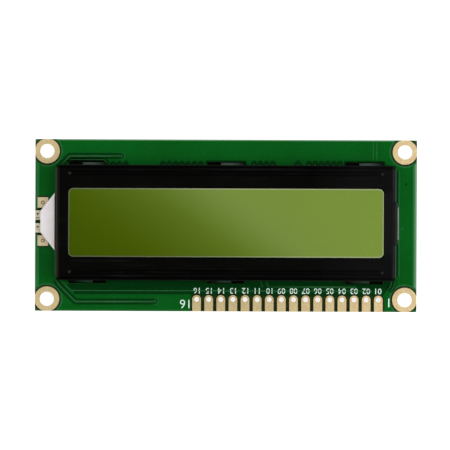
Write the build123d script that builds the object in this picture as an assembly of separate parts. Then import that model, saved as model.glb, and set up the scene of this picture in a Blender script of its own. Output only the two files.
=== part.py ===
from build123d import *
import os

os.makedirs("parts", exist_ok=True)

# Character display module, face up. All lengths are in millimetres.
# The origin is on the board's rear face, at the centre of the four mounting holes.
# +X runs along the long side towards pin 1, +Y away from the header row, +Z out of the display.

# Circuit board
board_length = 80.0
board_width = 36.0
board_thickness = 1.6
copper_height = 0.05
plating_wall = 0.05

# Mounting holes in the corners, each with a plated land that the board's edge trims
mount_from_edge = 2.5
mount_hole_radius = 1.5
mount_land_radius = 2.6

# Header row of plated holes along the lower edge
pin_count = 16
pin_pitch = 2.54
pin_hole_radius = 0.5
pin_pad_width = 1.8
pin_row_from_edge = 2.5
pin_one_from_mount = 5.5

# Bezel: black steel sheet, folded down on four sides, set in from the board's edges
bezel_from_end = 4.4
bezel_from_upper_edge = 5.35
bezel_from_lower_edge = 6.45
bezel_sheet = 0.5
bezel_bend_radius = 0.8
bezel_corner_relief = 0.6
window_from_bezel_end = 2.6
window_from_bezel_side = 4.9
window_corner_radius = 1.0
window_edge_bevel = 0.22

# Stiffening beads pressed into the bezel's face, one above and one below the window
bead_from_bezel_end = 2.3
bead_from_bezel_side = 1.75
bead_depth = 0.15
bead_radius = 0.9

# Bezel tabs, which step outwards, pass through the board's slots and fold over behind it
tab_width = 5.0
tab_from_bezel_end = 6.6
tab_shift = 1.4
tab_step_out = 0.5
tab_step_height = 0.8
tab_step_above_board = 1.0
tab_foot_length = 1.6
tab_relief_gap = 0.3
tab_row_shares = (-1, 0, 1)
slot_length = 8.0
slot_clearance = 0.2

# Bulge in the bezel's right wall, over the light guide's locating tab
bulge_width = 8.4
bulge_reach = 0.3
bulge_ramp = 0.4
guide_tab_width = 6.8
guide_tab_height = 3.2
guide_tab_stand_out = 0.2

# Display stack, from the board upwards
reflector_thickness = 0.2
guide_thickness = 3.5
diffuser_thickness = 0.2
polarizer_thickness = 0.2
glass_thickness = 1.1
glass_end_gap = 0.5
glass_side_gap = 0.4
glass_ledge = 2.7
polarizer_inset = 0.5
front_polarizer_overlap = 1.0
fill_plug_width = 3.6
fill_plug_reach = 0.35
fill_plug_inset = 0.5

# Light guide: a plate whose left end tapers to a nose that takes the lamp
guide_end_gap = 0.6
guide_side_gap = 0.1
guide_edge_chamfer = 0.4
nose_off_center = 0.15
nose_tip_width = 4.4
nose_tip_from_edge = 1.1
opening_clearance = 0.2

# Side-firing lamp in the nose's tip, and its leads
lamp_length = 3.6
lamp_depth = 1.2
lamp_height = 1.3
lamp_pocket_clearance = 0.1
lamp_lens_length = 2.6
lamp_lens_depth = 0.15
lamp_lead_width = 0.36
lamp_lead_thickness = 0.12
lamp_lead_spacing = 2.6
lamp_lead_end_gap = 0.15
lamp_lead_shift = 0.2

# Lamp pads at the board's left edge
lamp_pad_width = 1.95
lamp_pad_pitch = 2.7
lamp_pad_gap = 0.05
lamp_pad_hole_radius = 0.22
lamp_pad_hole_shift = 0.28

# Square test pads above and below the lamp, each with a filled hole
square_pad_side = 2.2
square_pad_pitch = 8.0
square_pad_from_edge = 0.5
square_pad_plug_radius = 0.4
plug_dome_height = 0.12

# Elastomer contact strips between the board and the upper glass
strip_width = 2.0
strip_end_gap = 1.5
strip_core_width = 0.9
contact_pitch = 1.6
contact_width = 0.9

# Sealed chips on the rear face
controller_radius = 7.0
controller_height = 1.7
controller_place_share = -0.175
driver_radius = 6.5
driver_height = 1.7
driver_place_share = 0.2375
blob_flat_share = 0.45
blob_dam_width = 0.5
blob_dam_height = 0.25

# Small chips on the rear face
chip_length = 2.0
chip_width = 1.25
chip_height = 0.5
chip_cap_length = 0.35
chip_cap_wall = 0.04
chip_from_foot = 0.6
resistor_pitch = 2.9
resistor_count = 6
capacitor_height = 0.9
capacitor_pitch = 4.2
capacitor_count = 2

# Filled vias whose heads show under the green mask
via_radius = 0.3
upper_via_from_end = 18.1
upper_via_from_edge = 3.4
lower_via_from_last_pin = 8.8
lower_via_from_edge = 2.2
right_via_from_end = 3.1

overrun = 1.0

# Heights worked out from the stack
board_top = board_thickness
pad_top = board_top + copper_height
reflector_top = board_top + reflector_thickness
guide_top = reflector_top + guide_thickness
diffuser_top = guide_top + diffuser_thickness
rear_polarizer_top = diffuser_top + polarizer_thickness
rear_glass_top = rear_polarizer_top + glass_thickness
front_glass_top = rear_glass_top + glass_thickness
bezel_underside = front_glass_top + polarizer_thickness
bezel_top = bezel_underside + bezel_sheet

# Places and lengths worked out from the driving sizes
mount_pitch_x = board_length - 2 * mount_from_edge
mount_pitch_y = board_width - 2 * mount_from_edge
bezel_length = board_length - 2 * bezel_from_end
bezel_width = board_width - bezel_from_upper_edge - bezel_from_lower_edge
display_center_y = (bezel_from_lower_edge - bezel_from_upper_edge) / 2
window_length = bezel_length - 2 * window_from_bezel_end
window_width = bezel_width - 2 * window_from_bezel_side
bead_length = bezel_length - 2 * bead_from_bezel_end
bead_spacing = bezel_width - 2 * bead_from_bezel_side
tab_pitch = bezel_length / 2 - tab_from_bezel_end
pin_one_x = mount_pitch_x / 2 - pin_one_from_mount
last_pin_x = pin_one_x - (pin_count - 1) * pin_pitch
pin_row_y = pin_row_from_edge - board_width / 2
nose_tip_x = nose_tip_from_edge - board_length / 2
bezel_inner_length = bezel_length - 2 * bezel_sheet
bezel_inner_width = bezel_width - 2 * bezel_sheet
glass_length = bezel_inner_length - 2 * glass_end_gap
front_glass_width = bezel_inner_width - 2 * glass_side_gap
rear_glass_width = front_glass_width - 2 * glass_ledge
guide_length = glass_length - 2 * guide_end_gap
guide_width = rear_glass_width - 2 * guide_side_gap
nose_center_y = display_center_y + nose_off_center
strip_length = glass_length - 2 * strip_end_gap
strip_offset_y = (front_glass_width + rear_glass_width) / 4
tab_middle_offset_y = bezel_width / 2 - bezel_sheet / 2 + tab_step_out
bezel_inner_left_x = -bezel_inner_length / 2
bezel_outer_right_x = bezel_length / 2
lamp_pad_length = nose_tip_from_edge - lamp_pad_gap
foot_end_offset_y = tab_middle_offset_y - bezel_sheet / 2 - tab_foot_length
chip_offset_y = foot_end_offset_y - chip_from_foot - chip_length / 2
controller_x = board_length * controller_place_share
driver_x = board_length * driver_place_share
chip_row_x = (controller_x + controller_radius + driver_x - driver_radius) / 2
nose_taper = (guide_width - nose_tip_width) / 2 / (-guide_length / 2 - nose_tip_x)


def save(node, solids):
    """Write one node, from a solid or a list of separate solids."""
    group = solids if isinstance(solids, list) else [solids]
    pieces = [piece for item in group for piece in item.solids()]
    shape = pieces[0] if len(pieces) == 1 else Compound(children=pieces)
    export_step(shape, f"parts/{node}.step")


def block(x_low, x_high, y_low, y_high, z_low, z_high):
    """A box from its lowest and highest corners."""
    size = (x_high - x_low, y_high - y_low, z_high - z_low)
    return Pos(x_low, y_low, z_low) * Box(*size, align=(Align.MIN, Align.MIN, Align.MIN))


def plate(length, width, z_low, z_high, center_x=0, center_y=0):
    """A flat plate centred on a point, between two heights."""
    return block(
        center_x - length / 2,
        center_x + length / 2,
        center_y - width / 2,
        center_y + width / 2,
        z_low,
        z_high,
    )


def rod(radius, x, y, z_low, z_high):
    """An upright round rod."""
    upright = Cylinder(radius, z_high - z_low, align=(Align.CENTER, Align.CENTER, Align.MIN))
    return Pos(x, y, z_low) * upright


def mount_points():
    """The four corners of the mounting pattern."""
    half_x = mount_pitch_x / 2
    half_y = mount_pitch_y / 2
    return [(x, y) for x in (-half_x, half_x) for y in (-half_y, half_y)]


def pin_points():
    """The header holes, from pin 1 at the right to the last pin."""
    return [(pin_one_x - index * pin_pitch, pin_row_y) for index in range(pin_count)]


def lamp_pad_points():
    """The centres of the two lamp pads on the left edge."""
    x = lamp_pad_length / 2 - board_length / 2
    return [(x, nose_center_y + side * lamp_pad_pitch / 2) for side in (1, -1)]


def lamp_hole_points():
    """The holes in the lamp pads, each above its pad's middle."""
    return [(x, y + lamp_pad_hole_shift) for x, y in lamp_pad_points()]


def square_pad_points():
    """The centres of the two square pads."""
    x = square_pad_from_edge + square_pad_side / 2 - board_length / 2
    return [(x, nose_center_y + side * square_pad_pitch / 2) for side in (1, -1)]


def via_points():
    """Where the filled vias pass through the board."""
    half_length = board_length / 2
    half_width = board_width / 2
    return [
        (upper_via_from_end - half_length, half_width - upper_via_from_edge),
        (last_pin_x - lower_via_from_last_pin, lower_via_from_edge - half_width),
        (half_length - right_via_from_end, -display_center_y),
    ]


def tab_places():
    """Each bezel tab as its side, its middle and the middle of its slot, along the long walls."""
    places = []
    for side in (1, -1):
        for share in tab_row_shares:
            slot_x = share * tab_pitch
            places.append((side, slot_x + side * tab_shift, slot_x))
    return places


def circuit_board():
    """The laminate, with every hole and slot that passes through it."""
    board = plate(board_length, board_width, 0, board_top)
    cuts = []
    for x, y in mount_points():
        cuts.append(rod(mount_hole_radius + plating_wall, x, y, -overrun, board_top + overrun))
    for x, y in pin_points():
        cuts.append(rod(pin_hole_radius + plating_wall, x, y, -overrun, board_top + overrun))
    for x, y in lamp_hole_points():
        cuts.append(rod(lamp_pad_hole_radius + plating_wall, x, y, -overrun, board_top + overrun))
    for x, y in square_pad_points():
        cuts.append(rod(square_pad_plug_radius, x, y, -overrun, board_top + overrun))
    for x, y in via_points():
        cuts.append(rod(via_radius, x, y, -overrun, board_top + overrun))
    slot_width = bezel_sheet + 2 * slot_clearance
    for side, _, slot_x in tab_places():
        slot_y = display_center_y + side * tab_middle_offset_y
        cuts.append(plate(slot_length, slot_width, -overrun, board_top + overrun, slot_x, slot_y))
    return board - cuts


def plated_hole(outline, hole_radius, x, y):
    """A copper pad on each face, joined by the plating inside the hole."""
    top = extrude(Pos(0, 0, board_top) * outline, copper_height)
    bottom = extrude(Pos(0, 0, -copper_height) * outline, copper_height)
    barrel = rod(hole_radius + plating_wall, x, y, 0, board_top)
    bore = rod(hole_radius, x, y, -overrun, pad_top + overrun)
    return top + bottom + barrel - bore


def mounting_hole_lands():
    """Four round lands, trimmed flush with the board's edges."""
    outline = Rectangle(board_length, board_width)
    lands = []
    for x, y in mount_points():
        land = outline & (Pos(x, y) * Circle(mount_land_radius))
        lands.append(plated_hole(land, mount_hole_radius, x, y))
    return lands


def header_pads():
    """Long pads, round about each pin hole and running straight to the board's edge."""
    pads = []
    for x, y in pin_points():
        tongue = Pos(x, y - pin_row_from_edge / 2) * Rectangle(pin_pad_width, pin_row_from_edge)
        outline = tongue + Pos(x, y) * Circle(pin_pad_width / 2)
        pads.append(plated_hole(outline, pin_hole_radius, x, y))
    return pads


def lamp_pads():
    """Two pads at the left edge, where the lamp's leads land."""
    pads = []
    for (x, y), (hole_x, hole_y) in zip(lamp_pad_points(), lamp_hole_points()):
        outline = Pos(x, y) * Rectangle(lamp_pad_length, lamp_pad_width)
        pads.append(plated_hole(outline, lamp_pad_hole_radius, hole_x, hole_y))
    return pads


def square_pads():
    """Two square pads, each open in the middle for its filled hole."""
    pads = []
    for x, y in square_pad_points():
        pad = plate(square_pad_side, square_pad_side, board_top, pad_top, x, y)
        pads.append(pad - rod(square_pad_plug_radius, x, y, 0, pad_top + overrun))
    return pads


def square_pad_plugs():
    """Solder that fills each square pad's hole and crowns a little above it."""
    radius = square_pad_plug_radius
    top = pad_top + plug_dome_height
    crown_radius = (radius**2 + plug_dome_height**2) / (2 * plug_dome_height)
    crown = Pos(0, 0, top - crown_radius) * Sphere(crown_radius)
    plug = rod(radius, 0, 0, pad_top, top) & crown
    stem = rod(radius, 0, 0, 0, pad_top)
    return [Pos(x, y, 0) * (stem + plug) for x, y in square_pad_points()]


def via_plugs():
    """Copper that fills each via, flush with both faces."""
    return [rod(via_radius, x, y, 0, board_top) for x, y in via_points()]


def rounded_slab(length, width, radius, z):
    """A rounded rectangle at a height, centred on the display."""
    return Pos(0, display_center_y, z) * RectangleRounded(length, width, radius)


def window_cutter():
    """The window's opening, straight through the sheet and bevelled at its upper edge."""
    bevel = window_edge_bevel
    through = extrude(
        rounded_slab(window_length, window_width, window_corner_radius, bezel_underside - overrun),
        bezel_sheet + overrun,
    )
    lower = rounded_slab(window_length, window_width, window_corner_radius, bezel_top - bevel)
    upper = rounded_slab(
        window_length + 2 * bevel,
        window_width + 2 * bevel,
        window_corner_radius + bevel,
        bezel_top,
    )
    return through + loft([lower, upper])


def bead_form(side, z):
    """A round-ended bar along X, level with the height given."""
    y = display_center_y + side * bead_spacing / 2
    half = bead_length / 2 - bead_radius
    bar = Pos(0, y, z) * Rot(0, 90, 0) * Cylinder(bead_radius, 2 * half)
    ends = [Pos(end * half, y, z) * Sphere(bead_radius) for end in (-1, 1)]
    return bar + ends


def folded_shell(x_low, x_high, y_low, y_high, z_high, radius):
    """A solid box with its four upper edges rounded, before it is hollowed."""
    body = block(x_low, x_high, y_low, y_high, board_top, z_high)
    return fillet(body.edges().group_by(Axis.Z)[-1], radius)


def bulge_form(inset, z_high, radius):
    """The raised part of the right wall, with a ramp at each end and a rounded upper edge."""
    face_x = bezel_outer_right_x + bulge_reach - inset
    half = bulge_width / 2 - inset
    outline = Polyline(
        (0, -half - bulge_ramp),
        (face_x - bulge_reach, -half - bulge_ramp),
        (face_x, -half),
        (face_x, half),
        (face_x - bulge_reach, half + bulge_ramp),
        (0, half + bulge_ramp),
        close=True,
    )
    body = extrude(Pos(0, display_center_y, board_top) * make_face(outline), z_high - board_top)
    return fillet(body.edges().group_by(Axis.Z)[-1].group_by(Axis.X)[-1], radius)


def bezel_tab(side, x):
    """One tab: a strip that steps outwards above the board, drops through it and folds inwards."""
    outer = bezel_width / 2
    inner = outer - bezel_sheet
    step_top = board_top + tab_step_above_board + tab_step_height
    step_bottom = board_top + tab_step_above_board
    outline = Polyline(
        (outer, step_top),
        (outer + tab_step_out, step_bottom),
        (outer + tab_step_out, -bezel_sheet),
        (foot_end_offset_y, -bezel_sheet),
        (foot_end_offset_y, 0),
        (inner + tab_step_out, 0),
        (inner + tab_step_out, step_bottom),
        (inner, step_top),
        close=True,
    )
    strip = extrude(Plane.YZ * make_face(outline), tab_width / 2, both=True)
    fold = strip.edges().filter_by(Axis.X).group_by(Axis.Z)[0].sort_by(Axis.Y)[-1]
    strip = fillet([fold], bezel_sheet)
    facing = strip if side > 0 else Rot(0, 0, 180) * strip
    return Pos(x, display_center_y, 0) * facing


def bezel():
    """The folded cover: face, four walls, window, beads, openings and tabs."""
    half_x = bezel_length / 2
    half_y = bezel_width / 2
    y_low = display_center_y - half_y
    y_high = display_center_y + half_y
    outside = folded_shell(-half_x, half_x, y_low, y_high, bezel_top, bezel_bend_radius)
    outside = outside + bulge_form(0, bezel_top, bezel_bend_radius)
    inside = folded_shell(
        -half_x + bezel_sheet,
        half_x - bezel_sheet,
        y_low + bezel_sheet,
        y_high - bezel_sheet,
        bezel_underside,
        bezel_bend_radius - bezel_sheet,
    )
    inside = inside + bulge_form(bezel_sheet, bezel_underside, bezel_bend_radius - bezel_sheet)
    shell = outside - inside

    cuts = [window_cutter()]
    relief = bezel_corner_relief
    for x in (-half_x + relief / 2, half_x - relief / 2):
        for y in (y_low + relief / 2, y_high - relief / 2):
            corner = plate(relief, relief, board_top - overrun, bezel_top + overrun, x, y)
            cuts.append(corner)

    nose_half = nose_tip_width / 2 + nose_taper * (bezel_inner_left_x - nose_tip_x)
    cuts.append(
        block(
            -half_x - overrun,
            bezel_inner_left_x,
            nose_center_y - nose_half - opening_clearance,
            nose_center_y + nose_half + opening_clearance,
            board_top - overrun,
            guide_top + opening_clearance,
        )
    )
    cuts.append(
        block(
            bezel_outer_right_x - bezel_sheet,
            bezel_outer_right_x + bulge_reach + overrun,
            display_center_y - guide_tab_width / 2 - opening_clearance,
            display_center_y + guide_tab_width / 2 + opening_clearance,
            board_top - overrun,
            reflector_top + guide_tab_height + opening_clearance,
        )
    )

    step_top = board_top + tab_step_above_board + tab_step_height
    relief_width = tab_width + 2 * tab_relief_gap
    for side, tab_x, _ in tab_places():
        wall_y = display_center_y + side * (half_y - bezel_sheet / 2)
        cuts.append(
            plate(relief_width, 2 * bezel_sheet, board_top - overrun, step_top, tab_x, wall_y)
        )

    for side in (1, -1):
        bar = bead_form(side, bezel_underside + bead_radius - bead_depth)
        floor_box = plate(
            bezel_length,
            bezel_width,
            bezel_underside - bead_radius,
            bezel_underside,
            0,
            display_center_y,
        )
        shell = shell + (bar & floor_box)
        cuts.append(bead_form(side, bezel_top + bead_radius - bead_depth))

    shell = shell - cuts
    for side, tab_x, _ in tab_places():
        shell = shell + bezel_tab(side, tab_x)
    return shell


def light_guide():
    """The acrylic plate, its tapered nose, its locating tab and the lamp's pocket."""
    half_x = guide_length / 2
    half_y = guide_width / 2
    center_y = nose_center_y
    outline = Polyline(
        (nose_tip_x, center_y - nose_tip_width / 2),
        (-half_x, center_y - half_y),
        (half_x, center_y - half_y),
        (half_x, center_y + half_y),
        (-half_x, center_y + half_y),
        (nose_tip_x, center_y + nose_tip_width / 2),
        close=True,
    )
    guide = extrude(Pos(0, 0, reflector_top) * make_face(outline), guide_thickness)
    nose_edges = guide.edges().group_by(Axis.Z)[-1].group_by(Axis.X)
    guide = chamfer(nose_edges[0] + nose_edges[1], guide_edge_chamfer)
    guide = guide + block(
        half_x - overrun,
        bezel_outer_right_x + bulge_reach + guide_tab_stand_out,
        display_center_y - guide_tab_width / 2,
        display_center_y + guide_tab_width / 2,
        reflector_top,
        reflector_top + guide_tab_height,
    )
    gap = lamp_pocket_clearance
    pocket = block(
        nose_tip_x - overrun,
        nose_tip_x + lamp_depth + lamp_lens_depth + gap,
        center_y - lamp_length / 2 - gap,
        center_y + lamp_length / 2 + gap,
        reflector_top - overrun,
        board_top + lamp_height + gap,
    )
    return guide - pocket


def backlight_lamp():
    """A side-firing lamp: its body and the window that it shines from."""
    body = block(
        nose_tip_x,
        nose_tip_x + lamp_depth,
        nose_center_y - lamp_length / 2,
        nose_center_y + lamp_length / 2,
        board_top,
        board_top + lamp_height,
    )
    margin = (lamp_length - lamp_lens_length) / 4
    lens = block(
        nose_tip_x + lamp_depth,
        nose_tip_x + lamp_depth + lamp_lens_depth,
        nose_center_y - lamp_lens_length / 2,
        nose_center_y + lamp_lens_length / 2,
        board_top + margin,
        board_top + lamp_height - margin,
    )
    return body + lens


def lamp_leads():
    """Two flat tinned leads, from the lamp's back to its pads at the board's edge."""
    leads = []
    for side in (1, -1):
        y = nose_center_y + side * lamp_lead_spacing / 2 - lamp_lead_shift
        leads.append(
            block(
                lamp_lead_end_gap - board_length / 2,
                nose_tip_x,
                y - lamp_lead_width / 2,
                y + lamp_lead_width / 2,
                pad_top,
                pad_top + lamp_lead_thickness,
            )
        )
    return leads


def display_plate(length, width, z_low, thickness):
    """A plate of the display stack, centred on the window."""
    return plate(length, width, z_low, z_low + thickness, 0, display_center_y)


def fill_port_plug():
    """A bead of resin that closes the cell's filling port, on the left end of both glasses."""
    left_x = -glass_length / 2
    width = fill_plug_width
    z_low = rear_glass_top - glass_thickness + fill_plug_inset
    z_high = rear_glass_top + glass_thickness - fill_plug_inset
    center = Pos(left_x, display_center_y, (z_low + z_high) / 2)
    bead = center * Box(2 * fill_plug_reach, width, z_high - z_low)
    bead = fillet(bead.edges().group_by(Axis.X)[0], fill_plug_reach / 2)
    glass_side = plate(glass_length, bezel_width, z_low - overrun, z_high + overrun, 0, display_center_y)
    return bead - glass_side


def contact_strip(side):
    """One elastomer strip, standing on its contacts and under the upper glass's ledge."""
    y = display_center_y + side * strip_offset_y
    return plate(strip_length, strip_width, pad_top, rear_glass_top, 0, y)


def strip_core(side):
    """The conducting layer inside a strip."""
    y = display_center_y + side * strip_offset_y
    return plate(strip_length, strip_core_width, pad_top, rear_glass_top, 0, y)


def contact_row(side):
    """The gold contacts on the board, under one strip."""
    count = int((strip_length - contact_width) / contact_pitch) + 1
    first = -(count - 1) * contact_pitch / 2
    y = display_center_y + side * strip_offset_y
    return [
        plate(contact_width, strip_width, board_top, pad_top, first + index * contact_pitch, y)
        for index in range(count)
    ]


def sealed_chip(radius, height, x):
    """A black resin dome on the board's rear face, with a low rim about it."""
    flat = radius * blob_flat_share
    dome_radius = radius - blob_dam_width
    edge = Polyline((0, 0), (radius, 0), (radius, -blob_dam_height), (dome_radius, -blob_dam_height))
    shoulder = TangentArc((flat, -height), (dome_radius, -blob_dam_height), tangent=(1, 0))
    close_line = Polyline((flat, -height), (0, -height), (0, 0))
    face = make_face(Plane.XZ * (edge + shoulder + close_line))
    return Pos(x, display_center_y, 0) * revolve(face, Axis.Z)


def chip_row(count, pitch, x, y):
    """The middles of a row of small chips."""
    return [(x + (index - (count - 1) / 2) * pitch, y) for index in range(count)]


def chip_bodies(points, height):
    """The ceramic bodies, between and inside their end caps."""
    wall = chip_cap_wall
    return [
        plate(chip_width - 2 * wall, chip_length - 2 * wall, -height + wall, -wall, x, y)
        for x, y in points
    ]


def chip_caps(points, height):
    """The tinned end caps, one at each end of a chip, wrapped over its body."""
    caps = []
    wall = chip_cap_wall
    for x, y in points:
        body = plate(chip_width - 2 * wall, chip_length - 2 * wall, -height + wall, -wall, x, y)
        for side in (-1, 1):
            middle = y + side * (chip_length - chip_cap_length) / 2
            cap = plate(chip_width, chip_cap_length, -height, 0, x, middle)
            caps.append(cap - body)
    return caps


resistor_y = display_center_y - chip_offset_y
capacitor_y = display_center_y + chip_offset_y
resistors = chip_row(resistor_count, resistor_pitch, chip_row_x, resistor_y)
capacitors = chip_row(capacitor_count, capacitor_pitch, chip_row_x, capacitor_y)

save("circuit_board", circuit_board())
save("mounting_hole_lands", mounting_hole_lands())
save("header_pads", header_pads())
save("lamp_pads", lamp_pads())
save("square_pads", square_pads())
save("square_pad_plugs", square_pad_plugs())
save("via_plugs", via_plugs())
save("bezel", bezel())
save("reflector_sheet", plate(guide_length, guide_width, board_top, reflector_top, 0, nose_center_y))
save("light_guide", light_guide())
save("diffuser_film", plate(guide_length, guide_width, guide_top, diffuser_top, 0, nose_center_y))
save("backlight_lamp", backlight_lamp())
save("lamp_leads", lamp_leads())
rear_polarizer_length = glass_length - 2 * polarizer_inset
rear_polarizer_width = rear_glass_width - 2 * polarizer_inset
save(
    "rear_polarizer",
    display_plate(rear_polarizer_length, rear_polarizer_width, diffuser_top, polarizer_thickness),
)
save(
    "rear_glass",
    display_plate(glass_length, rear_glass_width, rear_polarizer_top, glass_thickness),
)
save(
    "front_glass",
    display_plate(glass_length, front_glass_width, rear_glass_top, glass_thickness),
)
front_polarizer_length = window_length + 2 * front_polarizer_overlap
front_polarizer_width = window_width + 2 * front_polarizer_overlap
save(
    "front_polarizer",
    display_plate(
        front_polarizer_length, front_polarizer_width, front_glass_top, polarizer_thickness
    ),
)
save("fill_port_plug", fill_port_plug())
for side, place in ((1, "upper"), (-1, "lower")):
    save(f"contact_strip_{place}", contact_strip(side) - strip_core(side))
    save(f"strip_core_{place}", strip_core(side))
    save(f"contact_row_{place}", contact_row(side))
save("controller_seal", sealed_chip(controller_radius, controller_height, controller_x))
save("driver_seal", sealed_chip(driver_radius, driver_height, driver_x))
save("resistor_bodies", chip_bodies(resistors, chip_height))
save("resistor_caps", chip_caps(resistors, chip_height))
save("capacitor_bodies", chip_bodies(capacitors, capacitor_height))
save("capacitor_caps", chip_caps(capacitors, capacitor_height))
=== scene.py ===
import math

import bmesh
import bpy
import numpy as np
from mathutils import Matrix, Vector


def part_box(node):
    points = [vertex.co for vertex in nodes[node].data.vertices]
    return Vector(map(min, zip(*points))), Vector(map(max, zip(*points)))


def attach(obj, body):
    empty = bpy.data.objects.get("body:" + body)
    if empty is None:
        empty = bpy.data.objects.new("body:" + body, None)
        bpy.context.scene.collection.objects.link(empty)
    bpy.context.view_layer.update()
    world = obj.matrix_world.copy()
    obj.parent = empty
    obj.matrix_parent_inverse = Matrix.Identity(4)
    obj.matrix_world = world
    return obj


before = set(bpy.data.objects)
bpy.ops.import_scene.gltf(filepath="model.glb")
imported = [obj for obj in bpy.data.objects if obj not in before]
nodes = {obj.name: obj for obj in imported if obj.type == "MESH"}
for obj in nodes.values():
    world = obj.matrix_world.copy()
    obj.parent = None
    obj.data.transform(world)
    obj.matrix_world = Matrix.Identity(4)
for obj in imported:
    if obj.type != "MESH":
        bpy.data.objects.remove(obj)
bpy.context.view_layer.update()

# Blender works in metres: a size in millimetres is written as a number times MM
MM = 0.001
# A distance that is past every point of the module
FAR = 1.0


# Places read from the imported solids

board_low, board_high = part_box("circuit_board")
bezel_low, bezel_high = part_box("bezel")
display_low, display_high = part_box("front_polarizer")
guide_low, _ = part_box("light_guide")
controller_low, controller_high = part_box("controller_seal")
driver_low, driver_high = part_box("driver_seal")
resistors_low, resistors_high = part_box("resistor_caps")
capacitors_low, capacitors_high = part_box("capacitor_caps")
square_low, square_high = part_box("square_pads")
lamp_pads_low, lamp_pads_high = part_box("lamp_pads")
board_face = board_high.z
board_back = board_low.z
board_thickness = board_face - board_back
display_y = (display_low.y + display_high.y) / 2
floor_z = controller_low.z


# Measures that the finish shares with the solids

PIN_COUNT = 16
PIN_PITCH = 2.54 * MM
PIN_ONE_X = 32.0 * MM
PIN_ROW_Y = board_low.y + 2.5 * MM
PIN_PAD_HALF = 0.9 * MM
LAND_RADIUS = 2.6 * MM
LAND_FROM_EDGE = 2.5 * MM
BEZEL_HALF_X = 35.6 * MM
BEZEL_HALF_Y = 12.1 * MM
WINDOW_HALF_X = 33.0 * MM
WINDOW_HALF_Y = 7.2 * MM
WINDOW_CORNER = 1.0 * MM
# Widths of the painted shadow on the light guide beside the bezel's walls
GUIDE_SHADOW_WIDTH = 0.3 * MM
TAB_SHADOW_WIDTH = 0.13 * MM
GUIDE_ROOT = 3.3 * MM
RIM_MIRRORED = 0.2 * MM
PLUG_RING = 0.24 * MM
TAB_REACH = 12.12 * MM
FOLD_FROM_X = 34.8 * MM
FOLD_FROM_Y = 11.3 * MM
FOLD_DEPTH = 0.9 * MM
FOLD_SOFT = 0.2 * MM
BEAD_TIP_X = 32.7 * MM
BEAD_TIP_Y = 10.3 * MM
TAB_STEP_FLOOR = 2.3 * MM
SLOT_REACH = 12.35 * MM
SLOT_HALF_LENGTH = 4.0 * MM
SLOT_HALF_WIDTH = 0.45 * MM
SLOT_PITCH = 29.0 * MM


# Node helpers

def linear(hex_value):
    """The linear RGBA of an sRGB hex colour."""
    shares = np.array([int(hex_value[i:i + 2], 16) for i in (1, 3, 5)]) / 255
    toe = shares / 12.92
    curve = ((shares + 0.055) / 1.055) ** 2.4
    return (*np.where(shares <= 0.04045, toe, curve).tolist(), 1.0)


def add(tree, kind, inputs=None, out=0, **settings):
    """Adds one node: sets its properties, fills or links its inputs, and gives back one output,
    or all of them when out is None. Sockets go by place, identifier or name."""
    node = tree.nodes.new("ShaderNode" + kind)
    for name, value in settings.items():
        setattr(node, name, value)
    by_identifier = {socket.identifier: socket for socket in node.inputs}
    for key, value in (inputs or {}).items():
        target = by_identifier[key] if key in by_identifier else node.inputs[key]
        if isinstance(value, bpy.types.NodeSocket):
            tree.links.new(value, target)
        else:
            target.default_value = value
    if out is None:
        return list(node.outputs)
    found = [socket for socket in node.outputs if socket.identifier == out]
    return found[0] if found else node.outputs[out] if len(node.outputs) else None


def new_material(name):
    """An empty material: its node tree and the point's place on the object, in metres."""
    material = bpy.data.materials.new(name)
    material.use_nodes = True
    tree = material.node_tree
    tree.nodes.clear()
    return material, tree, add(tree, "TexCoord", out="Object")


def patches(tree, where, size, low_hex, high_hex, low=0.3, high=0.7, detail=3.0):
    """Two shades in soft patches of about the given size: the colour, and the pattern behind it."""
    pattern = add(tree, "TexNoise", {"Vector": where, "Scale": 1 / size, "Detail": detail})
    share = add(tree, "MapRange", {"Value": pattern, "From Min": low, "From Max": high})
    colour = add(
        tree, "Mix",
        {"Factor_Float": share, "A_Color": linear(low_hex), "B_Color": linear(high_hex)},
        out="Result_Color", data_type="RGBA",
    )
    return colour, pattern


def inside(tree, value, low, high, soft, level=1.0):
    """A level where a value lies between low and high, fading to nothing over the soft width."""
    rise = {"Value": value, "From Min": low - soft, "From Max": low, "To Max": level}
    fall = {"Value": value, "From Min": high + soft, "From Max": high}
    shares = {0: add(tree, "MapRange", rise), 1: add(tree, "MapRange", fall)}
    return add(tree, "Math", shares, operation="MULTIPLY")


def layered(tree, colour, *layers):
    """A colour with others laid over it in turn, each given as the share it covers and itself."""
    for share, above in layers:
        colour = add(
            tree, "Mix", {"Factor_Float": share, "A_Color": colour, "B_Color": above},
            out="Result_Color", data_type="RGBA",
        )
    return colour


def off_corners(tree, where, middle, halves, outside=False):
    """How far a point lies, seen from above, from the nearest corner of a rectangle with the given
    middle and half sides. With outside on, only what lies past a side counts."""
    place = add(tree, "VectorMath", {0: where, 1: (*middle, 0.0)}, operation="SUBTRACT")
    place = add(tree, "VectorMath", {0: place}, operation="ABSOLUTE")
    place = add(tree, "VectorMath", {0: place, 1: (*halves, 0.0)}, operation="SUBTRACT")
    if outside:
        place = add(tree, "VectorMath", {0: place, 1: (0.0, 0.0, 0.0)}, operation="MAXIMUM")
    place = add(tree, "VectorMath", {0: place, 1: (1.0, 1.0, 0.0)}, operation="MULTIPLY")
    return add(tree, "VectorMath", {0: place}, out="Value", operation="LENGTH")


def coated(material, colour, height, depth, strength, rough, **inputs):
    """Ends a material: a principled surface with a bump of the given depth. Its roughness is a number,
    or a pattern with the two values that it runs between. Words in the names of the other inputs
    are joined by underscores here."""
    tree = material.node_tree
    if isinstance(rough, tuple):
        pattern, low, high = rough
        rough = add(tree, "MapRange", {"Value": pattern, "To Min": low, "To Max": high})
    normal = add(tree, "Bump", {"Height": height, "Distance": depth, "Strength": strength})
    values = {"Base Color": colour, "Normal": normal, "Roughness": rough}
    values.update({name.replace("_", " "): value for name, value in inputs.items()})
    surface = add(tree, "BsdfPrincipled", values)
    add(tree, "OutputMaterial", {"Surface": surface})
    return material


# Finishes

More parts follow.
